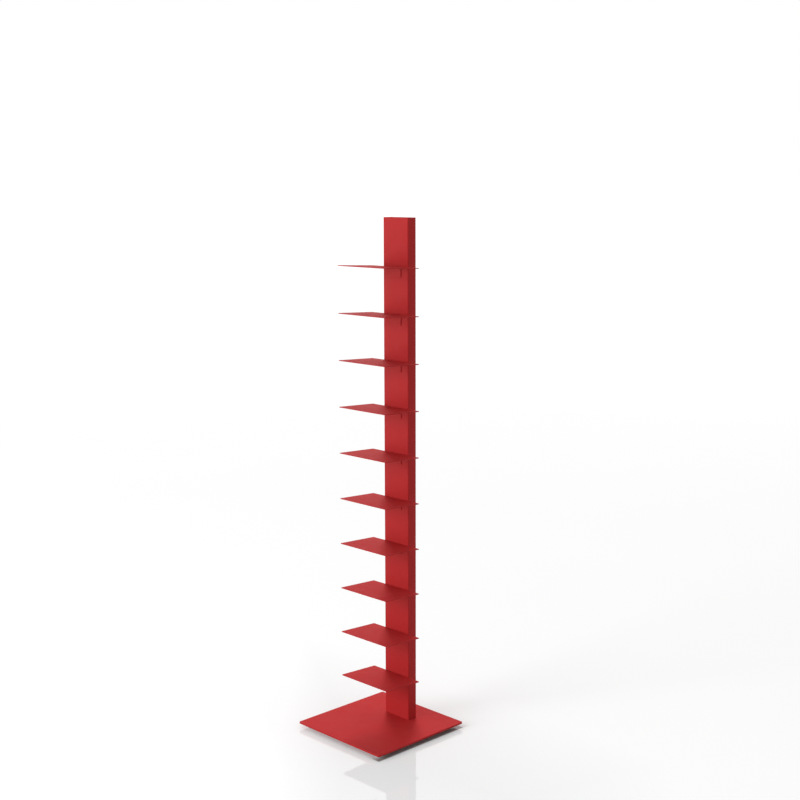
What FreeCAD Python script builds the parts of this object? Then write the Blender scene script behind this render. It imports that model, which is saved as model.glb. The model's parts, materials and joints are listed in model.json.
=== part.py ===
import FreeCAD, Part
import math
import os

# Spine bookshelf in powder-coated sheet steel, in millimetres.
# Origin: centre of the base on the floor. +Z is up and -Y is the front, where the shelves reach out.

# ---------------------------------------------------------------- driving sizes
# Base plate
BASE_WIDTH = 350.0
BASE_DEPTH = 350.0
BASE_THICKNESS = 5.0
BASE_CORNER_RADIUS = 6.0
BASE_EDGE_BEVEL = 0.5

# Column: a folded channel, open at the back between two return lips
COLUMN_WIDTH = 101.0
COLUMN_DEPTH = 33.0
COLUMN_WALL = 2.0
COLUMN_INNER_BEND = 1.0
COLUMN_LIP_WIDTH = 14.0
COLUMN_SETBACK = 74.0            # from the base's back edge to the column's back
COLUMN_ABOVE_TOP_SHELF = 139.3

# Shelves: one sheet each, rising a little towards the front, so that the books lean back, with
# a rear tab folded down against the column
SHELF_COUNT = 10
LOWEST_SHELF_RISE = 136.0        # base plate's top to the lowest shelf's fold
SHELF_PITCH = 136.3
SHELF_WIDTH = 195.0
SHELF_DEPTH = 135.0              # along the sheet, front to rear edge
SHELF_SLOPE = 2.6                # degrees, up towards the front
SHELF_THICKNESS = 2.0
SHELF_REAR_GAP = 1.5             # between the sheet's rear edge and the column
SHELF_CORNER_RADIUS = 3.0
TAB_WIDTH = 46.0
TAB_HEIGHT = 32.0                # from the fold's top to the tab's lower edge
TAB_ROOT_LENGTH = 2.5            # flat strip between the end of the relief and the fold
TAB_INNER_BEND = 2.5
TAB_CORNER_RADIUS = 3.0
RELIEF_WIDTH = 2.0               # of the slots into the sheet beside the tab

# Weld studs on the tab, and the nuts that hold them inside the column
STUD_RADIUS = 2.5
STUD_SPACING = 24.0
STUD_DROP = 17.0                 # below the fold's top
STUD_END_BEYOND_NUT = 2.0
NUT_ACROSS_FLATS = 8.0
NUT_HEIGHT = 4.7

# Foot plate inside the column, with its screws up through the base plate
FOOT_PLATE_THICKNESS = 4.0
BASE_SCREW_COUNT = 3
BASE_SCREW_SPACING = 30.0
BASE_SCREW_RADIUS = 4.0
BASE_SCREW_HEAD_RADIUS = 6.5
BASE_SCREW_HEAD_HEIGHT = 5.0
BASE_SCREW_SOCKET_FLATS = 5.0
BASE_SCREW_SOCKET_DEPTH = 2.8
BASE_SCREW_END_BEYOND_NUT = 1.5
BASE_NUT_ACROSS_FLATS = 13.0
BASE_NUT_HEIGHT = 6.5

# Cap in the top of the column: a small folded tray, open downwards
CAP_THICKNESS = 2.0
CAP_HEIGHT = 12.0
CAP_INNER_BEND = 0.8

# Levelling feet
FOOT_INSET = 27.0                # from the base's edges to the foot's centre
FOOT_PAD_RADIUS = 11.0
FOOT_PAD_HEIGHT = 4.7
FOOT_PAD_BEVEL = 0.6             # around its top
FOOT_PAD_FLOOR = 1.5             # moulding under the stud's head
FOOT_STUD_RADIUS = 4.0
FOOT_HEAD_ACROSS_FLATS = 11.0
BOSS_RADIUS = 9.0
BOSS_HEIGHT = 8.0

# Clearances
FOOT_STOP_GAP = 0.3              # pad to boss with the foot screwed home
FOOT_STUD_END_GAP = 0.3          # stud to base plate with the foot screwed home
THREAD_CLEARANCE = 0.05          # radial, between a plain stud and its plain thread bore
POCKET_CLEARANCE = 0.05          # around the stud's head in the pad's pocket
STUD_HOLE_CLEARANCE = 0.25       # radial, around the studs in the column's wall
SCREW_CLEARANCE = 0.5            # radial, around the base screws
INSERT_CLEARANCE = 0.1           # around the foot plate and the cap inside the column

# ---------------------------------------------------------------- places that follow
UP = FreeCAD.Vector(0, 0, 1)
HEXAGON_SIDES = 6

BASE_UNDERSIDE_Z = FOOT_PAD_HEIGHT + FOOT_STOP_GAP + BOSS_HEIGHT
BASE_TOP_Z = BASE_UNDERSIDE_Z + BASE_THICKNESS
SHELF_LEVELS_Z = [BASE_TOP_Z + LOWEST_SHELF_RISE + SHELF_PITCH * step for step in range(SHELF_COUNT)]
COLUMN_TOP_Z = SHELF_LEVELS_Z[-1] + COLUMN_ABOVE_TOP_SHELF

COLUMN_BACK_Y = BASE_DEPTH / 2 - COLUMN_SETBACK
COLUMN_FRONT_Y = COLUMN_BACK_Y - COLUMN_DEPTH
COLUMN_CENTRE_Y = COLUMN_BACK_Y - COLUMN_DEPTH / 2
COLUMN_INNER_WIDTH = COLUMN_WIDTH - 2 * COLUMN_WALL
COLUMN_INNER_DEPTH = COLUMN_DEPTH - 2 * COLUMN_WALL

TAB_OUTER_BEND = TAB_INNER_BEND + SHELF_THICKNESS
FOLD_Y = COLUMN_FRONT_Y - TAB_OUTER_BEND
RELIEF_END_Y = FOLD_Y - TAB_ROOT_LENGTH
SHEET_REAR_Y = COLUMN_FRONT_Y - SHELF_REAR_GAP
SHEET_FRONT_Y = SHEET_REAR_Y - SHELF_DEPTH

STUD_XS = [-STUD_SPACING / 2, STUD_SPACING / 2]
BASE_SCREW_XS = [
    (place - (BASE_SCREW_COUNT - 1) / 2) * BASE_SCREW_SPACING for place in range(BASE_SCREW_COUNT)
]
FOOT_X = BASE_WIDTH / 2 - FOOT_INSET
FOOT_Y = BASE_DEPTH / 2 - FOOT_INSET
FOOT_PLACES = {
    "front_left": (-FOOT_X, -FOOT_Y),
    "front_right": (FOOT_X, -FOOT_Y),
    "back_left": (-FOOT_X, FOOT_Y),
    "back_right": (FOOT_X, FOOT_Y),
}


# ---------------------------------------------------------------- forms used more than once
def centred_block(width, depth, height, centre_y, bottom_z, corner_radius):
    """A block centred on x = 0, with its four upright corners rounded."""
    corner = FreeCAD.Vector(-width / 2, centre_y - depth / 2, bottom_z)
    block = Part.makeBox(width, depth, height, corner)
    upright = [edge for edge in block.Edges if abs(edge.tangentAt(edge.FirstParameter).z) > 0.9]
    return block.makeFillet(corner_radius, upright)


def revolved(outline):
    """A turned piece on the Z axis, from (radius, height) points joined by straight lines."""
    points = [FreeCAD.Vector(radius, 0, height) for radius, height in outline]
    face = Part.Face(Part.makePolygon(points + points[:1]))
    return face.revolve(FreeCAD.Vector(), UP, 360)


def hexagon_prism(across_flats, height, bottom_z):
    """An upright hexagonal prism on the Z axis."""
    corner_radius = across_flats / 2 / math.cos(math.pi / HEXAGON_SIDES)
    turns = [2 * math.pi * side / HEXAGON_SIDES for side in range(HEXAGON_SIDES)]
    points = [
        FreeCAD.Vector(corner_radius * math.cos(turn), corner_radius * math.sin(turn), bottom_z)
        for turn in turns
    ]
    return Part.Face(Part.makePolygon(points + points[:1])).extrude(UP * height)


def hexagon_nut(across_flats, height, bore_radius):
    """A nut seated on z = 0 with its bore on the Z axis."""
    return hexagon_prism(across_flats, height, 0).cut(Part.makeCylinder(bore_radius, height))


def laid_back(piece, x, z):
    """Turn an upright piece to point backwards and set its z = 0 on the column's front plane."""
    laid = piece.copy()
    laid.rotate(FreeCAD.Vector(), FreeCAD.Vector(1, 0, 0), -90)
    laid.translate(FreeCAD.Vector(x, COLUMN_FRONT_Y, z))
    return laid


def moved(piece, x, y, z):
    """A copy of a piece, moved."""
    placed = piece.copy()
    placed.translate(FreeCAD.Vector(x, y, z))
    return placed


# ---------------------------------------------------------------- base plate and feet
def base_plate():
    """The square plate, with its top edge bevelled and the holes for the column's screws."""
    plate = centred_block(BASE_WIDTH, BASE_DEPTH, BASE_THICKNESS, 0, BASE_UNDERSIDE_Z,
                          BASE_CORNER_RADIUS)
    top_face = max(plate.Faces, key=lambda face: face.CenterOfMass.z)
    plate = plate.makeChamfer(BASE_EDGE_BEVEL, top_face.Edges)
    hole = Part.makeCylinder(BASE_SCREW_RADIUS + SCREW_CLEARANCE, BASE_THICKNESS)
    for x in BASE_SCREW_XS:
        plate = plate.cut(moved(hole, x, COLUMN_CENTRE_Y, BASE_UNDERSIDE_Z))
    return plate


def foot_bosses():
    """Round threaded bosses, welded under the base plate."""
    bottom = FreeCAD.Vector(0, 0, BASE_UNDERSIDE_Z - BOSS_HEIGHT)
    bore = Part.makeCylinder(FOOT_STUD_RADIUS + THREAD_CLEARANCE, BOSS_HEIGHT, bottom)
    boss = Part.makeCylinder(BOSS_RADIUS, BOSS_HEIGHT, bottom).cut(bore)
    return Part.makeCompound([moved(boss, x, y, 0) for x, y in FOOT_PLACES.values()])


def foot_stud():
    """The steel stud, standing on the pocket's floor with its hexagon head flush with the pad."""
    head = hexagon_prism(FOOT_HEAD_ACROSS_FLATS, FOOT_PAD_HEIGHT - FOOT_PAD_FLOOR, FOOT_PAD_FLOOR)
    length = BASE_UNDERSIDE_Z - FOOT_STUD_END_GAP - FOOT_PAD_FLOOR
    shank = Part.makeCylinder(FOOT_STUD_RADIUS, length, FreeCAD.Vector(0, 0, FOOT_PAD_FLOOR))
    return head.fuse(shank).removeSplitter()


def foot_pad():
    """The moulded pad, bevelled at the top, with the pocket that grips the stud's head."""
    pad = revolved([(0, 0), (FOOT_PAD_RADIUS, 0),
                    (FOOT_PAD_RADIUS, FOOT_PAD_HEIGHT - FOOT_PAD_BEVEL),
                    (FOOT_PAD_RADIUS - FOOT_PAD_BEVEL, FOOT_PAD_HEIGHT), (0, FOOT_PAD_HEIGHT)])
    pocket = hexagon_prism(FOOT_HEAD_ACROSS_FLATS + 2 * POCKET_CLEARANCE,
                           FOOT_PAD_HEIGHT - FOOT_PAD_FLOOR, FOOT_PAD_FLOOR)
    return pad.cut(pocket)


# ---------------------------------------------------------------- column
def column():
    """A folded channel with return lips, drilled for the studs of every shelf."""
    height = COLUMN_TOP_Z - BASE_TOP_Z
    outside = centred_block(COLUMN_WIDTH, COLUMN_DEPTH, height, COLUMN_CENTRE_Y, BASE_TOP_Z,
                            COLUMN_WALL + COLUMN_INNER_BEND)
    inside = centred_block(COLUMN_INNER_WIDTH, COLUMN_INNER_DEPTH, height, COLUMN_CENTRE_Y,
                           BASE_TOP_Z, COLUMN_INNER_BEND)
    opening_width = COLUMN_WIDTH - 2 * COLUMN_LIP_WIDTH
    opening_corner = FreeCAD.Vector(-opening_width / 2, COLUMN_CENTRE_Y, BASE_TOP_Z)
    opening = Part.makeBox(opening_width, COLUMN_DEPTH, height, opening_corner)
    channel = outside.cut([inside, opening])
    hole = Part.makeCylinder(STUD_RADIUS + STUD_HOLE_CLEARANCE, COLUMN_WALL)
    holes = [laid_back(hole, x, level - STUD_DROP) for level in SHELF_LEVELS_Z for x in STUD_XS]
    return channel.cut(holes)


def column_foot_plate():
    """The plate welded into the bottom of the column, drilled for the base screws."""
    plate = centred_block(COLUMN_INNER_WIDTH - 2 * INSERT_CLEARANCE,
                          COLUMN_INNER_DEPTH - 2 * INSERT_CLEARANCE, FOOT_PLATE_THICKNESS,
                          COLUMN_CENTRE_Y, BASE_TOP_Z, COLUMN_INNER_BEND)
    hole = Part.makeCylinder(BASE_SCREW_RADIUS + SCREW_CLEARANCE, FOOT_PLATE_THICKNESS)
    holes = [moved(hole, x, COLUMN_CENTRE_Y, BASE_TOP_Z) for x in BASE_SCREW_XS]
    return plate.cut(holes)


def base_weld_nuts():
    """Nuts welded on top of the foot plate."""
    nut = hexagon_nut(BASE_NUT_ACROSS_FLATS, BASE_NUT_HEIGHT, BASE_SCREW_RADIUS + THREAD_CLEARANCE)
    seat_z = BASE_TOP_Z + FOOT_PLATE_THICKNESS
    return Part.makeCompound([moved(nut, x, COLUMN_CENTRE_Y, seat_z) for x in BASE_SCREW_XS])


def base_screws():
    """Low-head socket screws, up through the base plate and the foot plate into the nuts."""
    tip = BASE_THICKNESS + FOOT_PLATE_THICKNESS + BASE_NUT_HEIGHT + BASE_SCREW_END_BEYOND_NUT
    turned = revolved([(0, -BASE_SCREW_HEAD_HEIGHT),
                       (BASE_SCREW_HEAD_RADIUS, -BASE_SCREW_HEAD_HEIGHT),
                       (BASE_SCREW_HEAD_RADIUS, 0), (BASE_SCREW_RADIUS, 0),
                       (BASE_SCREW_RADIUS, tip), (0, tip)])
    socket = hexagon_prism(BASE_SCREW_SOCKET_FLATS, BASE_SCREW_SOCKET_DEPTH,
                           -BASE_SCREW_HEAD_HEIGHT)
    screw = turned.cut(socket)
    return Part.makeCompound([moved(screw, x, COLUMN_CENTRE_Y, BASE_UNDERSIDE_Z)
                              for x in BASE_SCREW_XS])


def column_top_cap():
    """A folded tray, open downwards, that closes the column's top flush with its walls."""
    width = COLUMN_INNER_WIDTH - 2 * INSERT_CLEARANCE
    depth = COLUMN_INNER_DEPTH - 2 * INSERT_CLEARANCE
    bottom_z = COLUMN_TOP_Z - CAP_HEIGHT
    outside = centred_block(width, depth, CAP_HEIGHT, COLUMN_CENTRE_Y, bottom_z,
                            CAP_THICKNESS + CAP_INNER_BEND)
    hollow = centred_block(width - 2 * CAP_THICKNESS, depth - 2 * CAP_THICKNESS,
                           CAP_HEIGHT - CAP_THICKNESS, COLUMN_CENTRE_Y, bottom_z, CAP_INNER_BEND)
    return outside.cut(hollow)


# ---------------------------------------------------------------- shelves
def folded_tab():
    """The tab of a shelf whose fold tops out at z = 0: sloping root, fold, and the strip below."""
    slope = math.radians(SHELF_SLOPE)
    half_fold = (math.pi / 2 - slope) / 2
    backwards = FreeCAD.Vector(0, 1, 0)
    halfway = FreeCAD.Vector(0, math.cos(half_fold), math.sin(half_fold))
    off_the_sheet = FreeCAD.Vector(0, math.sin(slope), math.cos(slope))
    forwards = FreeCAD.Vector(0, -math.cos(slope), math.sin(slope))
    fold_centre = FreeCAD.Vector(0, FOLD_Y, -TAB_OUTER_BEND)
    fold_top = fold_centre + off_the_sheet * TAB_OUTER_BEND
    fold_bottom = fold_centre + off_the_sheet * TAB_INNER_BEND
    outer_middle = fold_centre + halfway * TAB_OUTER_BEND
    inner_middle = fold_centre + halfway * TAB_INNER_BEND
    outer_end = fold_centre + backwards * TAB_OUTER_BEND
    inner_end = fold_centre + backwards * TAB_INNER_BEND
    back_foot = FreeCAD.Vector(0, outer_end.y, -TAB_HEIGHT)
    front_foot = FreeCAD.Vector(0, inner_end.y, -TAB_HEIGHT)
    root_top = fold_top + forwards * TAB_ROOT_LENGTH
    root_bottom = fold_bottom + forwards * TAB_ROOT_LENGTH
    outline = Part.Wire([
        Part.makeLine(root_top, fold_top),
        Part.Arc(fold_top, outer_middle, outer_end).toShape(),
        Part.makeLine(outer_end, back_foot),
        Part.makeLine(back_foot, front_foot),
        Part.makeLine(front_foot, inner_end),
        Part.Arc(inner_end, inner_middle, fold_bottom).toShape(),
        Part.makeLine(fold_bottom, root_bottom),
        Part.makeLine(root_bottom, root_top),
    ])
    strip = Part.Face(outline).extrude(FreeCAD.Vector(TAB_WIDTH, 0, 0))
    strip.translate(FreeCAD.Vector(-TAB_WIDTH / 2, 0, 0))
    lower_corners = [edge for edge in strip.Edges
                     if abs(edge.tangentAt(edge.FirstParameter).y) > 0.9
                     and edge.CenterOfMass.z < TAB_CORNER_RADIUS - TAB_HEIGHT]
    return strip.makeFillet(TAB_CORNER_RADIUS, lower_corners)


def shelf():
    """One folded shelf whose fold tops out at z = 0: sloping sheet with its relief, and its tab."""
    sheet = centred_block(SHELF_WIDTH, SHELF_DEPTH, SHELF_THICKNESS,
                          (SHEET_REAR_Y + SHEET_FRONT_Y) / 2, -SHELF_THICKNESS,
                          SHELF_CORNER_RADIUS)
    relief_width = TAB_WIDTH + 2 * RELIEF_WIDTH
    relief = Part.makeBox(relief_width, SHEET_REAR_Y - RELIEF_END_Y, SHELF_THICKNESS,
                          FreeCAD.Vector(-relief_width / 2, RELIEF_END_Y, -SHELF_THICKNESS))
    sheet = sheet.cut(relief)
    fold_centre = FreeCAD.Vector(0, FOLD_Y, -TAB_OUTER_BEND)
    sheet.rotate(fold_centre, FreeCAD.Vector(1, 0, 0), -SHELF_SLOPE)
    return sheet.fuse(folded_tab()).removeSplitter()


def shelf_studs():
    """Weld studs on the tabs' backs, through the column's front wall."""
    stud = Part.makeCylinder(STUD_RADIUS, COLUMN_WALL + NUT_HEIGHT + STUD_END_BEYOND_NUT)
    return Part.makeCompound([laid_back(stud, x, level - STUD_DROP)
                              for level in SHELF_LEVELS_Z for x in STUD_XS])


def shelf_nuts():
    """Nuts on those studs, seated on the inside of the column's front wall."""
    nut = hexagon_nut(NUT_ACROSS_FLATS, NUT_HEIGHT, STUD_RADIUS + THREAD_CLEARANCE)
    nut = moved(nut, 0, 0, COLUMN_WALL)
    return Part.makeCompound([laid_back(nut, x, level - STUD_DROP)
                              for level in SHELF_LEVELS_Z for x in STUD_XS])


# ---------------------------------------------------------------- the assembly
def all_pieces():
    """Every node of the bookshelf by name, each in its place."""
    pieces = {
        "base_plate": base_plate(),
        "foot_bosses": foot_bosses(),
        "column": column(),
        "column_foot_plate": column_foot_plate(),
        "base_weld_nuts": base_weld_nuts(),
        "base_screws": base_screws(),
        "column_top_cap": column_top_cap(),
        "shelf_studs": shelf_studs(),
        "shelf_nuts": shelf_nuts(),
    }
    one_shelf = shelf()
    for number, level in enumerate(reversed(SHELF_LEVELS_Z), start=1):
        pieces["shelf_%02d" % number] = moved(one_shelf, 0, 0, level)
    for place, (x, y) in FOOT_PLACES.items():
        pieces["foot_stud_" + place] = moved(foot_stud(), x, y, 0)
        pieces["foot_pad_" + place] = moved(foot_pad(), x, y, 0)
    return pieces


os.makedirs("parts", exist_ok=True)
for node, piece in all_pieces().items():
    piece.exportStep("parts/" + node + ".step")
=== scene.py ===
import json
import math

import bmesh
import bpy
from mathutils import Matrix, Vector

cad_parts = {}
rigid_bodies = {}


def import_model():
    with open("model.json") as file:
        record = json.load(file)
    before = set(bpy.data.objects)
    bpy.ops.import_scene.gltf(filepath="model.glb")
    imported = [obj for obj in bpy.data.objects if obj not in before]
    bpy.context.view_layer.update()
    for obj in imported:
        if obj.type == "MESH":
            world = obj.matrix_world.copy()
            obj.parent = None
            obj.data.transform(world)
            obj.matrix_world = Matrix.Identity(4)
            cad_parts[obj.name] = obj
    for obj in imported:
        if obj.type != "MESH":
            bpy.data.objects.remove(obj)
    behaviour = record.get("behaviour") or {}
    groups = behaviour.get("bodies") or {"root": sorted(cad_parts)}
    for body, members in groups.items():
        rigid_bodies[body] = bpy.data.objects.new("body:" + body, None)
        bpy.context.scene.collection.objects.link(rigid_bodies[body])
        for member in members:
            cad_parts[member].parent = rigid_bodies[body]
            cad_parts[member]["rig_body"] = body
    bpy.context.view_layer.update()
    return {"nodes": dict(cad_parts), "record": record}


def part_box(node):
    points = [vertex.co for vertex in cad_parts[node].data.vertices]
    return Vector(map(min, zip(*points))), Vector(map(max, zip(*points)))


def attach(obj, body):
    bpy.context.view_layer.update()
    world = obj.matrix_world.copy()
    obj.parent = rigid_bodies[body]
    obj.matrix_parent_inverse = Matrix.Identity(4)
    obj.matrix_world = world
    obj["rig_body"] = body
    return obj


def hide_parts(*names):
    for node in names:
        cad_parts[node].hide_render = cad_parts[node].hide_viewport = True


# Spine bookshelf in satin red powder coat, in metres. +Z is up and -Y is the front, where the
# shelves reach out from the column.

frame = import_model()

ROOT = "bookshelf"
SHELVES = ["shelf_%02d" % number for number in range(1, 11)]     # from the top down
CORNERS = ("front_left", "front_right", "back_left", "back_right")
NODE_SLOTS = {
    piece["node"]: piece["material_slot"] for piece in frame["record"]["subparts"]
}

# ---------------------------------------------------------------- camera values
IMAGE_SIZE = 800                 # pixels, both ways
FOCAL_LENGTH = 1359.6            # pixels
CENTRE_ROW = 432.4               # where the optical axis meets the image, from its top
CAMERA_PLACE = (2.8067, -2.6689, 1.6271)
CAMERA_TURN = 0.79502            # radians, to the left of +Y
CAMERA_DIP = 0.18418             # radians, below level
CAMERA_ROLL = -0.0026            # radians
CAMERA_REACH = 200
SENSOR_WIDTH = 36.0              # Blender's own, in mm

# ---------------------------------------------------------------- light values
AMBIENT = 0.65                   # the white room, as matt surfaces see it
BACKGROUND = 1.0                 # the same room, as the camera and gloss see it
WHITE = (1, 1, 1, 1)

# Square soft lights. Each stands towards a direction in plan, at an elevation in degrees, and
# its brightness is what a matt white surface facing it would show, 1 being white.
LIGHT_AIM = (0, 0, 0.75)
KEY_LIGHT = {
    "towards": (-0.22, -0.97), "elevation": 15, "distance": 5.0, "size": 2.6, "brightness": 0.50,
}
FILL_LIGHT = {
    "towards": (-0.75, -0.66), "elevation": 4, "distance": 3.5, "size": 1.8, "brightness": 0.34,
}
BACK_LIGHT = {
    "towards": (-0.716, 0.698), "elevation": 25, "distance": 4.0, "size": 1.4, "brightness": 1.08,
}

# ---------------------------------------------------------------- floor values
# The floor isn't part of the bookshelf, and all its places are in its own metres. In a pair of
# limits, a change starts at the first and is complete at the second.
FLOOR_REACH = 60.0               # from its middle to each edge
FLOOR_COLOURS = ((0.90, 0.972, 0.970), (0.91, 0.982, 0.980))
FLOOR_NOISE = (1.2, 2.0)         # scale and detail
FLOOR_ROUGHNESS = 0.04
FLOOR_IOR = 2.0
FLOOR_GLOSS_TINT = (1, 0.6, 0.6, 1)      # keeps the red bookshelf's mirror image nearly neutral

# The floor's glow, which only the camera and gloss see and which comes from no lamp, goes from its
# near to its far strength beyond any of these limits. Being weaker near the bookshelf, it paints
# shade on the floor around it.
GLOW_NEAR = 0.13
GLOW_FAR = 0.22
FAR_BEHIND = (-0.1, 0.4)         # along Y
FAR_OUT = (0.9, 2.2)             # from the middle
TO_THE_RIGHT = (0.70, 0.71, 0)   # a direction across the floor
FAR_RIGHT = (0.35, 0.8)          # along that direction
FAR_LEFT = (-0.1, -0.3)

# The camera sees no glow under the base plate, a painted shade there: it starts beyond the plate's
# edges, and in front it also reaches in under the plate, short of the right-hand end, a painted
# light in the plate's shadow.
PAINTED_SHADE_ENDS_ASIDE = (0.172, 0.180)      # both ways along X
PAINTED_SHADE_ENDS_BEFORE = (-0.172, -0.180)   # along Y
PAINTED_SHADE_ENDS_BEHIND = (0.175, 0.20)
PAINTED_LIGHT_UNDER_FRONT_X = (0.165, 0.13)
PAINTED_LIGHT_UNDER_FRONT_Y = (-0.11, -0.14)

# A painted shadow: the floor's colour is darker under the base plate's right-hand edge.
PAINTED_SHADOW_INNER_EDGE = (0.140, 0.165)        # along X
PAINTED_SHADOW_OUTER_EDGES = (0.177, 0.173)       # both ways along X and Y
PAINTED_SHADOW_COLOUR = (0.36, 0.38, 0.375, 1)

# ---------------------------------------------------------------- mesh values
MERGE_DISTANCE = 0.000002
FLAT_ANGLE = math.radians(1)     # between faces of the CAD mesh that are really one
SHARP_ANGLE = math.radians(30)   # above it, an edge is shaded sharp
EASED_ANGLE = math.radians(35)   # above it, an edge of a CAD mesh is rounded
EASED_EDGES = {                  # by how much
    **{shelf: 0.0003 for shelf in SHELVES},
    "base_plate": 0.0002,
    "column": 0.00025,
    "column_top_cap": 0.00025,
    "column_foot_plate": 0.00025,
}
RING_STEPS = 36                  # around the hardware's circles and hexagons
THREAD_STEPS = 24
ROUND_MIDDLE = 0.3               # where a rounded rim's middle ring lies, as a share of its width

# ---------------------------------------------------------------- hardware values
SMALL_THREAD = (0.0025, 0.0008)  # radius and pitch
LARGE_THREAD = (0.004, 0.00125)
THREAD_DEPTH = 0.61              # as a share of the pitch
SHELF_NUT = (0.008, 0.0047, 0.00255)         # across flats, height, bore radius
BASE_NUT = (0.013, 0.0065, 0.00405)
NUT_FACE = 0.475                 # radius of its flat face, as a share of its width across flats
NUT_CHAMFER = math.radians(30)
NUT_COUNTERSINK = 0.1            # as a share of the bore's radius
BACKWARDS = Matrix.Rotation(-math.pi / 2, 4, "X")        # from upright

STUD_XS = (-0.012, 0.012)
STUD_ABOVE_TAB_END = 0.015       # from the tab's lower edge up to its studs

BASE_SCREW_XS = (-0.030, 0.0, 0.030)
SCREW_HEAD_RADIUS = 0.0065
SCREW_HEAD_RIM = 0.0005
SCREW_HEAD_CHAMFER = 0.0002      # where it meets the base plate
SCREW_SOCKET_FLATS = 0.005
SCREW_SOCKET_DEPTH = 0.0028
SCREW_SOCKET_MOUTH = 0.0031      # radius
SCREW_SOCKET_CHAMFER = 0.0005    # depth
SCREW_NECK_CHAMFER = 0.0005      # where the thread starts

FOOT_INSET = 0.027               # from the base plate's edges to the foot's centre
FOOT_HEAD_FLATS = 0.011
PAD_RADIUS = 0.011
PAD_BOTTOM_RIM = 0.0005
PAD_TOP_RIM = 0.001
PAD_POCKET_FLATS = 0.0111
BOSS_RADIUS = 0.009
BOSS_BORE_RADIUS = 0.00405
BOSS_CHAMFER = 0.0004
WELD_LEG = 0.0018                # of the bead between a boss and the base plate
WELD_PROFILE = ((0, 1), (0.35, 0.85), (0.85, 0.35), (1, 0))      # shares of its leg, out and down
WELD_RIPPLES = 34                # around one boss
WELD_SWELL = 0.1                 # of a ripple, as a share of the bead
WELD_STEPS = 4 * WELD_RIPPLES

# ---------------------------------------------------------------- places, from the frame
base_low, base_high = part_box("base_plate")
column_low, column_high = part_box("column")
column_centre_y = (column_low.y + column_high.y) / 2
foot_places = {
    corner: (
        base_high.x - FOOT_INSET if "right" in corner else base_low.x + FOOT_INSET,
        base_high.y - FOOT_INSET if "back" in corner else base_low.y + FOOT_INSET,
    )
    for corner in CORNERS
}


# ---------------------------------------------------------------- shader steps
def new_material(name):
    """An empty node material, with its node tree and its Principled shader."""
    material = bpy.data.materials.new(name)
    material.use_nodes = True
    tree = material.node_tree
    return material, tree, tree.nodes["Principled BSDF"]


def object_noise(tree, scale, detail, roughness=0.5):
    """Noise fixed to the object's own metres."""
    place = tree.nodes.new("ShaderNodeTexCoord")
    noise = tree.nodes.new("ShaderNodeTexNoise")
    noise.inputs["Scale"].default_value = scale
    noise.inputs["Detail"].default_value = detail
    noise.inputs["Roughness"].default_value = roughness
    tree.links.new(place.outputs["Object"], noise.inputs["Vector"])
    return noise.outputs["Fac"]


def remapped(tree, value, limits, results=(0, 1)):
    """Run from one result to the other as a value goes from one limit to the other."""
    ramp = tree.nodes.new("ShaderNodeMapRange")
    ramp.inputs["From Min"].default_value, ramp.inputs["From Max"].default_value = limits
    ramp.inputs["To Min"].default_value, ramp.inputs["To Max"].default_value = results
    tree.links.new(value, ramp.inputs["Value"])
    return ramp.outputs["Result"]


def patches(tree, noise, results=(0, 1)):
    """Object noise, which mostly lies between 0.3 and 0.7, spread over a range."""
    return remapped(tree, object_noise(tree, *noise), (0.3, 0.7), results)


def blended(tree, factor, first, second):
    """A colour between two, by a factor."""
    mix = tree.nodes.new("ShaderNodeMix")
    mix.data_type = "RGBA"
    mix.inputs["A"].default_value = (*first, 1)
    mix.inputs["B"].default_value = (*second, 1)
    tree.links.new(factor, mix.inputs["Factor"])
    return mix.outputs["Result"]


def maths(tree, operation, first, *others):
    """Node outputs folded together, one after the other, by an operation."""
    total = first
    for other in others:
        step = tree.nodes.new("ShaderNodeMath")
        step.operation = operation
        tree.links.new(total, step.inputs[0])
        tree.links.new(other, step.inputs[1])
        total = step.outputs["Value"]
    return total


def magnitude(tree, value):
    """A node output without its sign."""
    step = tree.nodes.new("ShaderNodeMath")
    step.operation = "ABSOLUTE"
    tree.links.new(value, step.inputs[0])
    return step.outputs["Value"]


# ---------------------------------------------------------------- materials
def uneven(name, colours, colour_noise, roughness, roughness_noise, bump, bump_noise,
           metallic=0.0, specular_level=0.5):
    """A material whose colour and roughness each drift between two, over a fine relief.

    Each noise is its scale and detail, and its roughness where that isn't 0.5. bump is the
    relief's height in metres and its strength.
    """
    material, tree, shader = new_material(name)
    colour = blended(tree, patches(tree, colour_noise), *colours)
    tree.links.new(colour, shader.inputs["Base Color"])
    tree.links.new(patches(tree, roughness_noise, roughness), shader.inputs["Roughness"])
    shader.inputs["Metallic"].default_value = metallic
    shader.inputs["Specular IOR Level"].default_value = specular_level
    relief = tree.nodes.new("ShaderNodeBump")
    relief.inputs["Distance"].default_value, relief.inputs["Strength"].default_value = bump
    tree.links.new(object_noise(tree, *bump_noise), relief.inputs["Height"])
    tree.links.new(relief.outputs["Normal"], shader.inputs["Normal"])
    return material


def powder_coat():
    """Satin red powder coat: fine orange peel and a faintly uneven film."""
    return uneven(
        "red_powder_coat",
        colours=((0.375, 0.0170, 0.0180), (0.395, 0.0182, 0.0192)),
        colour_noise=(9.0, 3.0),
        roughness=(0.57, 0.63),
        roughness_noise=(35.0, 4.0),
        bump=(0.00002, 0.5),
        bump_noise=(420.0, 2.0),
        specular_level=0.13,
    )


def zinc_steel():
    """Zinc-plated steel, with the plating's dull patches."""
    return uneven(
        "zinc_steel",
        colours=((0.47, 0.47, 0.46), (0.63, 0.63, 0.60)),
        colour_noise=(260.0, 5.0, 0.65),
        roughness=(0.28, 0.42),
        roughness_noise=(700.0, 3.0),
        bump=(0.00001, 0.3),
        bump_noise=(1500.0, 2.0),
        metallic=1.0,
    )


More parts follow.
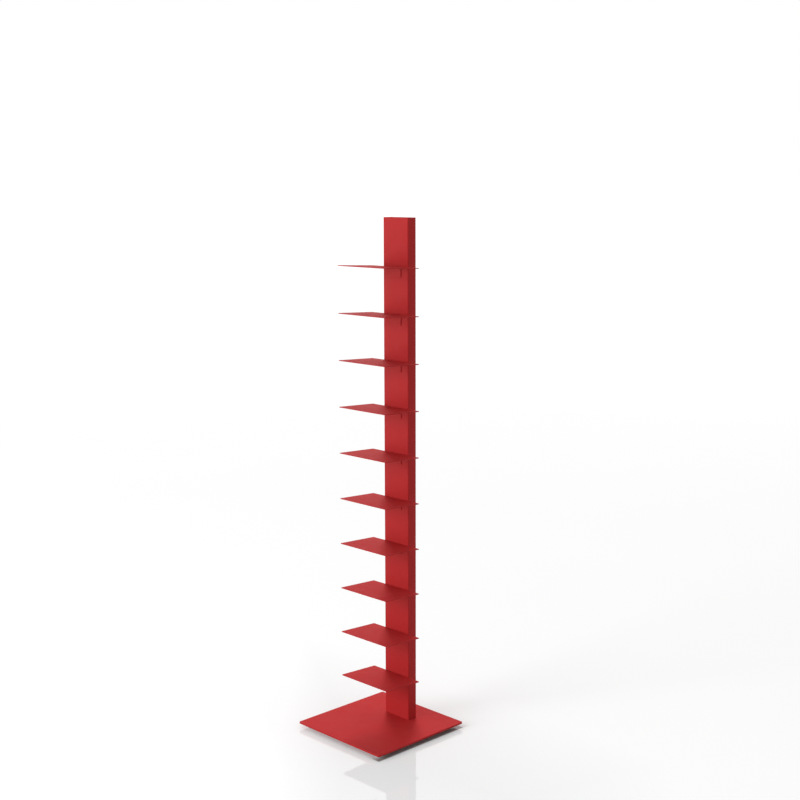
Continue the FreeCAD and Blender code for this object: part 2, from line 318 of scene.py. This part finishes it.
def grey_moulding():
    """Light grey moulded plastic with a fine spark-eroded grain."""
    return uneven(
        "grey_moulding",
        colours=((0.40, 0.405, 0.40), (0.44, 0.445, 0.44)),
        colour_noise=(120.0, 3.0),
        roughness=(0.45, 0.60),
        roughness_noise=(900.0, 2.0),
        bump=(0.00003, 0.5),
        bump_noise=(2500.0, 2.0),
    )


MATERIALS = {
    "red_powder_coat": powder_coat(),
    "zinc_steel": zinc_steel(),
    "grey_moulding": grey_moulding(),
}


def dress_cad_nodes():
    """Give every CAD node the material of its slot."""
    for name, node in frame["nodes"].items():
        node.data.materials.clear()
        node.data.materials.append(MATERIALS[NODE_SLOTS[name]])


# ---------------------------------------------------------------- pieces
def smooth_by_angle(mesh):
    """Shade a mesh smooth, apart from its sharp edges."""
    mesh.set_sharp_from_angle(angle=SHARP_ANGLE)
    for face in mesh.polygons:
        face.use_smooth = True


def eased(node_name, width):
    """A copy of a CAD node whose sharp edges are slightly rounded. It replaces the node."""
    node = frame["nodes"][node_name]
    mesh = node.data.copy()
    mesh.name = node_name + "_eased"
    form = bmesh.new()
    form.from_mesh(mesh)
    bmesh.ops.remove_doubles(form, verts=form.verts, dist=MERGE_DISTANCE)
    bmesh.ops.dissolve_limit(form, angle_limit=FLAT_ANGLE, verts=form.verts,
                             edges=form.edges, use_dissolve_boundaries=False)
    form.to_mesh(mesh)
    form.free()
    piece = bpy.data.objects.new(node_name + "_eased", mesh)
    bpy.context.scene.collection.objects.link(piece)
    bevel = piece.modifiers.new("eased edges", "BEVEL")
    bevel.width = width
    bevel.segments = 2
    bevel.limit_method = "ANGLE"
    bevel.angle_limit = EASED_ANGLE
    bevel.use_clamp_overlap = True
    bevel.harden_normals = True
    smooth_by_angle(mesh)
    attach(piece, node["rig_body"])
    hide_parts(node_name)


def finish_piece(form, name, body, node_name):
    """Close a form up and make it the piece that stands for a CAD node."""
    bmesh.ops.remove_doubles(form, verts=form.verts, dist=MERGE_DISTANCE)
    bmesh.ops.holes_fill(form, edges=form.edges, sides=0)
    bmesh.ops.recalc_face_normals(form, faces=form.faces)
    mesh = bpy.data.meshes.new(name)
    form.to_mesh(mesh)
    form.free()
    smooth_by_angle(mesh)
    slot = NODE_SLOTS[node_name]
    mesh.materials.append(MATERIALS[slot])
    piece = bpy.data.objects.new(name, mesh)
    bpy.context.scene.collection.objects.link(piece)
    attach(piece, body)
    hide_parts(node_name)


# ---------------------------------------------------------------- forms of the hardware
def turns(steps):
    """Equal angles around a circle, from +X."""
    return [2 * math.pi * step / steps for step in range(steps)]


def circle(radius, height, steps=RING_STEPS):
    """The points of a level circle."""
    return [(radius * math.cos(turn), radius * math.sin(turn), height) for turn in turns(steps)]


def rounded_rim(radius, height, width, up):
    """Three rings that round a rim, from its flat face to its side.

    up is 1 where the side rises from the face, and -1 where it falls.
    """
    middle = ROUND_MIDDLE * width
    return [
        circle(radius - width, height),
        circle(radius - middle, height + up * middle),
        circle(radius, height + up * width),
    ]


def hexagon(across_flats, height, chamfer=0):
    """The points around a level hexagon with a corner on +X.

    chamfer is 1 or -1 where a flat cone takes its corners up or down, else 0.
    """
    face_radius = NUT_FACE * across_flats
    points = []
    for turn in turns(RING_STEPS):
        radius = across_flats / 2 / math.cos(turn % (math.pi / 3) - math.pi / 6)
        rise = chamfer * max(radius - face_radius, 0) * math.tan(NUT_CHAMFER)
        points.append((radius * math.cos(turn), radius * math.sin(turn), height + rise))
    return points


def add_shell(form, rings, place, closed=False):
    """Join rings of points in turn: first to last if closed, else with a face at each end."""
    rows = [[form.verts.new(place @ Vector(point)) for point in ring] for ring in rings]
    if not closed:
        form.faces.new(rows[0])
        form.faces.new(rows[-1])
    for lower, upper in zip(rows, rows[1:] + rows[:1] if closed else rows[1:]):
        for near, far in zip(range(-1, len(lower) - 1), range(len(lower))):
            form.faces.new((lower[near], lower[far], upper[far], upper[near]))


def add_nut(form, sizes, place):
    """A nut seated on z = 0: chamfered corners, and a bore countersunk at both ends."""
    across_flats, height, bore = sizes
    face_radius = NUT_FACE * across_flats
    sink = NUT_COUNTERSINK * bore
    add_shell(form, [
        circle(bore + sink, 0),
        circle(face_radius, 0),
        hexagon(across_flats, 0, 1),
        hexagon(across_flats, height, -1),
        circle(face_radius, height),
        circle(bore + sink, height),
        circle(bore, height - sink),
        circle(bore, sink),
    ], place, closed=True)


def add_thread(form, thread, bottom, top, place):
    """A rod with a helical thread that tapers in at both of its ends.

    Each upright line of points climbs by half a pitch at a time, root and crest by turns. Points
    that would lie below the bottom or above the top are held there.
    """
    radius, pitch = thread
    root = radius - THREAD_DEPTH * pitch
    half_turns = 2 * math.ceil((top - bottom) / pitch) + 2
    grid = []
    for step, turn in enumerate(turns(THREAD_STEPS)):
        line = []
        for row in range(-2, half_turns):
            height = bottom + pitch * (row / 2 + step / THREAD_STEPS)
            height = min(max(height, bottom), top)
            to_the_end = min(height - bottom, top - height)
            reach = min(radius if row % 2 else root, root + to_the_end)
            point = Vector((reach * math.cos(turn), reach * math.sin(turn), height))
            line.append(form.verts.new(place @ point))
        grid.append(line)
    for step, line in enumerate(grid):
        following = grid[step + 1] if step + 1 < THREAD_STEPS else grid[0][2:]
        for row in range(min(len(line), len(following)) - 1):
            form.faces.new((line[row], following[row], following[row + 1], line[row + 1]))


def weld_ring(reach, drop):
    """A ring of a rippled weld bead: how far out from a boss and down from the base plate."""
    points = []
    for turn in turns(WELD_STEPS):
        swell = 1 + WELD_SWELL * math.sin(WELD_RIPPLES * turn)
        radius = BOSS_RADIUS + reach * swell
        height = base_low.z - drop * swell
        points.append((radius * math.cos(turn), radius * math.sin(turn), height))
    return points


# ---------------------------------------------------------------- hardware
def shelf_fixings():
    """The weld studs through the column's front wall, and their nuts."""
    studs = bmesh.new()
    nuts = bmesh.new()
    stud_root, stud_tip = (corner.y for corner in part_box("shelf_studs"))
    nut_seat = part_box("shelf_nuts")[0].y
    for shelf in reversed(SHELVES):
        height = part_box(shelf)[0].z + STUD_ABOVE_TAB_END
        for x in STUD_XS:
            stud_place = Matrix.Translation((x, stud_root, height)) @ BACKWARDS
            nut_place = Matrix.Translation((x, nut_seat, height)) @ BACKWARDS
            add_thread(studs, SMALL_THREAD, 0, stud_tip - stud_root, stud_place)
            add_nut(nuts, SHELF_NUT, nut_place)
    finish_piece(studs, "shelf_studs_threaded", ROOT, "shelf_studs")
    finish_piece(nuts, "shelf_nuts_chamfered", ROOT, "shelf_nuts")


def base_fixings():
    """The low-head screws up through the base plate, and their nuts on the foot plate."""
    screws = bmesh.new()
    nuts = bmesh.new()
    nut_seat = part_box("column_foot_plate")[1].z
    screw_bottom, screw_top = (corner.z - base_low.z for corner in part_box("base_screws"))
    thread_start = nut_seat - base_low.z
    shank_radius = LARGE_THREAD[0]
    for x in BASE_SCREW_XS:
        place = Matrix.Translation((x, column_centre_y, base_low.z))
        add_shell(screws, [
            hexagon(SCREW_SOCKET_FLATS, screw_bottom + SCREW_SOCKET_DEPTH),
            hexagon(SCREW_SOCKET_FLATS, screw_bottom + SCREW_SOCKET_CHAMFER),
            circle(SCREW_SOCKET_MOUTH, screw_bottom),
            *rounded_rim(SCREW_HEAD_RADIUS, screw_bottom, SCREW_HEAD_RIM, 1),
            circle(SCREW_HEAD_RADIUS, -SCREW_HEAD_CHAMFER),
            circle(SCREW_HEAD_RADIUS - SCREW_HEAD_CHAMFER, 0),
            circle(shank_radius, 0),
            circle(shank_radius, thread_start - SCREW_NECK_CHAMFER),
            circle(shank_radius - SCREW_NECK_CHAMFER, thread_start),
        ], place)
        add_thread(screws, LARGE_THREAD, thread_start, screw_top, place)
        add_nut(nuts, BASE_NUT, Matrix.Translation((x, column_centre_y, nut_seat)))
    finish_piece(screws, "base_screws_threaded", ROOT, "base_screws")
    finish_piece(nuts, "base_weld_nuts_chamfered", ROOT, "base_weld_nuts")


def bosses():
    """The threaded bosses under the base plate, each with its ring of weld."""
    form = bmesh.new()
    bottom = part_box("foot_bosses")[0].z
    for x, y in foot_places.values():
        add_shell(form, [
            circle(BOSS_BORE_RADIUS, base_low.z, WELD_STEPS),
            circle(BOSS_BORE_RADIUS, bottom + BOSS_CHAMFER, WELD_STEPS),
            circle(BOSS_BORE_RADIUS + BOSS_CHAMFER, bottom, WELD_STEPS),
            circle(BOSS_RADIUS - BOSS_CHAMFER, bottom, WELD_STEPS),
            circle(BOSS_RADIUS, bottom + BOSS_CHAMFER, WELD_STEPS),
            *(weld_ring(WELD_LEG * out, WELD_LEG * down) for out, down in WELD_PROFILE),
        ], Matrix.Translation((x, y, 0)), closed=True)
    finish_piece(form, "foot_bosses_welded", ROOT, "foot_bosses")


def levelling_foot(corner):
    """One foot: its moulded pad, and the stud whose head the pad grips."""
    body = "foot_" + corner
    place = Matrix.Translation((*foot_places[corner], 0))
    stud_bottom, stud_top = (box_corner.z for box_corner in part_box("foot_stud_" + corner))
    pad_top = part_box("foot_pad_" + corner)[1].z
    pad = bmesh.new()
    add_shell(pad, [
        *rounded_rim(PAD_RADIUS, 0, PAD_BOTTOM_RIM, 1),
        *reversed(rounded_rim(PAD_RADIUS, pad_top, PAD_TOP_RIM, -1)),
        hexagon(PAD_POCKET_FLATS, pad_top),
        hexagon(PAD_POCKET_FLATS, stud_bottom),
    ], place)
    finish_piece(pad, "foot_pad_%s_moulded" % corner, body, "foot_pad_" + corner)
    stud = bmesh.new()
    add_shell(stud, [
        hexagon(FOOT_HEAD_FLATS, stud_bottom),
        hexagon(FOOT_HEAD_FLATS, pad_top, -1),
        circle(FOOT_HEAD_FLATS * NUT_FACE, pad_top),
    ], place)
    add_thread(stud, LARGE_THREAD, pad_top, stud_top, place)
    finish_piece(stud, "foot_stud_%s_threaded" % corner, body, "foot_stud_" + corner)


# ---------------------------------------------------------------- the studio
def floor_glow(tree, place, x, y):
    """How strongly the floor glows to the camera and to gloss, though it is no lamp. It is weaker
    near the bookshelf and, to the camera, missing under the base plate, both painted shade, and
    reaches in under the plate's front edge, a painted light.
    """
    distance = tree.nodes.new("ShaderNodeVectorMath")
    distance.operation = "LENGTH"
    tree.links.new(place, distance.inputs[0])
    across = tree.nodes.new("ShaderNodeVectorMath")
    across.operation = "DOT_PRODUCT"
    across.inputs[1].default_value = TO_THE_RIGHT
    tree.links.new(place, across.inputs[0])
    # Painted shade: the glow is weaker near the bookshelf.
    far = maths(
        tree, "MAXIMUM",
        remapped(tree, y, FAR_BEHIND),
        remapped(tree, distance.outputs["Value"], FAR_OUT),
        remapped(tree, across.outputs["Value"], FAR_LEFT),
        remapped(tree, across.outputs["Value"], FAR_RIGHT),
    )
    strength = remapped(tree, far, (0, 1), (GLOW_NEAR, GLOW_FAR))
    # Painted light: the glow reaches in under the base plate's front edge, in its shadow.
    painted_light_under_front = maths(
        tree, "MULTIPLY",
        remapped(tree, x, PAINTED_LIGHT_UNDER_FRONT_X),
        remapped(tree, y, PAINTED_LIGHT_UNDER_FRONT_Y),
    )
    # Painted shade: the camera sees no glow under the base plate.
    clear = maths(
        tree, "MAXIMUM",
        remapped(tree, magnitude(tree, x), PAINTED_SHADE_ENDS_ASIDE),
        remapped(tree, y, PAINTED_SHADE_ENDS_BEFORE),
        remapped(tree, y, PAINTED_SHADE_ENDS_BEHIND),
        painted_light_under_front,
    )
    rays = tree.nodes.new("ShaderNodeLightPath").outputs
    seen = maths(tree, "MULTIPLY", clear, rays["Is Camera Ray"])
    seen = maths(tree, "MAXIMUM", seen, rays["Is Glossy Ray"])
    return maths(tree, "MULTIPLY", strength, seen)


def floor_colour_and_painted_shadow(tree, x, y):
    """Slightly uneven white, darkened under the base plate's right-hand edge as a painted shadow.
    """
    white = blended(tree, patches(tree, FLOOR_NOISE), *FLOOR_COLOURS)
    # Painted shadow: the floor is darker under the base plate's right-hand edge.
    painted_shadow_mask = maths(
        tree, "MULTIPLY",
        remapped(tree, x, PAINTED_SHADOW_INNER_EDGE),
        remapped(tree, magnitude(tree, x), PAINTED_SHADOW_OUTER_EDGES),
        remapped(tree, magnitude(tree, y), PAINTED_SHADOW_OUTER_EDGES),
    )
    shade = tree.nodes.new("ShaderNodeMix")
    shade.data_type = "RGBA"
    shade.inputs["B"].default_value = PAINTED_SHADOW_COLOUR
    tree.links.new(white, shade.inputs["A"])
    tree.links.new(painted_shadow_mask, shade.inputs["Factor"])
    return shade.outputs["Result"]


def floor_paint():
    """Glossy white paint, whose glow and colour, with their painted light and shade, follow the
    floor's own metres.
    """
    material, tree, shader = new_material("studio_floor")
    place = tree.nodes.new("ShaderNodeTexCoord").outputs["Object"]
    axes = tree.nodes.new("ShaderNodeSeparateXYZ")
    tree.links.new(place, axes.inputs["Vector"])
    x, y = axes.outputs["X"], axes.outputs["Y"]
    tree.links.new(floor_colour_and_painted_shadow(tree, x, y), shader.inputs["Base Color"])
    tree.links.new(floor_glow(tree, place, x, y), shader.inputs["Emission Strength"])
    shader.inputs["Emission Color"].default_value = WHITE
    shader.inputs["Roughness"].default_value = FLOOR_ROUGHNESS
    shader.inputs["IOR"].default_value = FLOOR_IOR
    shader.inputs["Specular Tint"].default_value = FLOOR_GLOSS_TINT
    return material


def studio_floor():
    """A wide white floor."""
    mesh = bpy.data.meshes.new("studio_floor")
    form = bmesh.new()
    bmesh.ops.create_grid(form, x_segments=1, y_segments=1, size=FLOOR_REACH)
    form.to_mesh(mesh)
    form.free()
    mesh.materials.append(floor_paint())
    floor = bpy.data.objects.new("studio_floor", mesh)
    bpy.context.scene.collection.objects.link(floor)
    return floor


def white_room():
    """A white room: plain white to the camera and to gloss, dimmer as a light."""
    world = bpy.data.worlds.new("white_room")
    bpy.context.scene.world = world
    world.use_nodes = True
    tree = world.node_tree
    background = tree.nodes["Background"]
    background.inputs["Color"].default_value = WHITE
    rays = tree.nodes.new("ShaderNodeLightPath").outputs
    seen = maths(tree, "MAXIMUM", rays["Is Camera Ray"], rays["Is Glossy Ray"],
                 rays["Is Transmission Ray"])
    strength = remapped(tree, seen, (0, 1), (AMBIENT, BACKGROUND))
    tree.links.new(strength, background.inputs["Strength"])


def soft_light(name, towards, elevation, distance, size, brightness):
    """A square soft light, aimed at the middle of the column's line."""
    lamp = bpy.data.lights.new(name, "AREA")
    lamp.shape = "SQUARE"
    lamp.size = size
    lamp.energy = brightness * math.pi ** 2 * distance ** 2
    light = bpy.data.objects.new(name, lamp)
    bpy.context.scene.collection.objects.link(light)
    rise = math.radians(elevation)
    in_plan = Vector((*towards, 0)).normalized()
    direction = in_plan * math.cos(rise) + Vector((0, 0, math.sin(rise)))
    light.location = Vector(LIGHT_AIM) + direction * distance
    light.rotation_euler = direction.to_track_quat("Z", "Y").to_euler()
    return light


def studio_lights(floor):
    """The three lights. Only the key light falls on the floor, and only the fill shows in gloss."""
    key_light = soft_light("key_light", **KEY_LIGHT)
    fill_light = soft_light("fill_light", **FILL_LIGHT)
    back_light = soft_light("back_light", **BACK_LIGHT)
    key_light.visible_glossy = False
    back_light.visible_glossy = False
    key_only = bpy.data.collections.new("lit_by_the_key_light_only")
    key_only.objects.link(floor)
    fill_light.light_linking.receiver_collection = key_only
    back_light.light_linking.receiver_collection = key_only
    key_only.collection_objects[0].light_linking.link_state = "EXCLUDE"


def studio_camera():
    """The camera, from its place, turn, dip and roll."""
    camera = bpy.data.cameras.new("studio_camera")
    camera.sensor_width = SENSOR_WIDTH
    camera.lens = FOCAL_LENGTH * SENSOR_WIDTH / IMAGE_SIZE
    camera.shift_y = (CENTRE_ROW - IMAGE_SIZE / 2) / IMAGE_SIZE
    camera.clip_end = CAMERA_REACH
    viewer = bpy.data.objects.new("studio_camera", camera)
    bpy.context.scene.collection.objects.link(viewer)
    turn = Matrix.Rotation(CAMERA_TURN, 4, "Z")
    dip = Matrix.Rotation(math.pi / 2 - CAMERA_DIP, 4, "X")
    roll = Matrix.Rotation(CAMERA_ROLL, 4, "Z")
    viewer.matrix_world = Matrix.Translation(CAMERA_PLACE) @ turn @ dip @ roll
    bpy.context.scene.camera = viewer


# ---------------------------------------------------------------- the scene
dress_cad_nodes()
for node_name, width in EASED_EDGES.items():
    eased(node_name, width)
shelf_fixings()
base_fixings()
bosses()
for corner in CORNERS:
    levelling_foot(corner)

floor = studio_floor()
white_room()
studio_lights(floor)
studio_camera()
bpy.context.scene.view_settings.view_transform = "Standard"
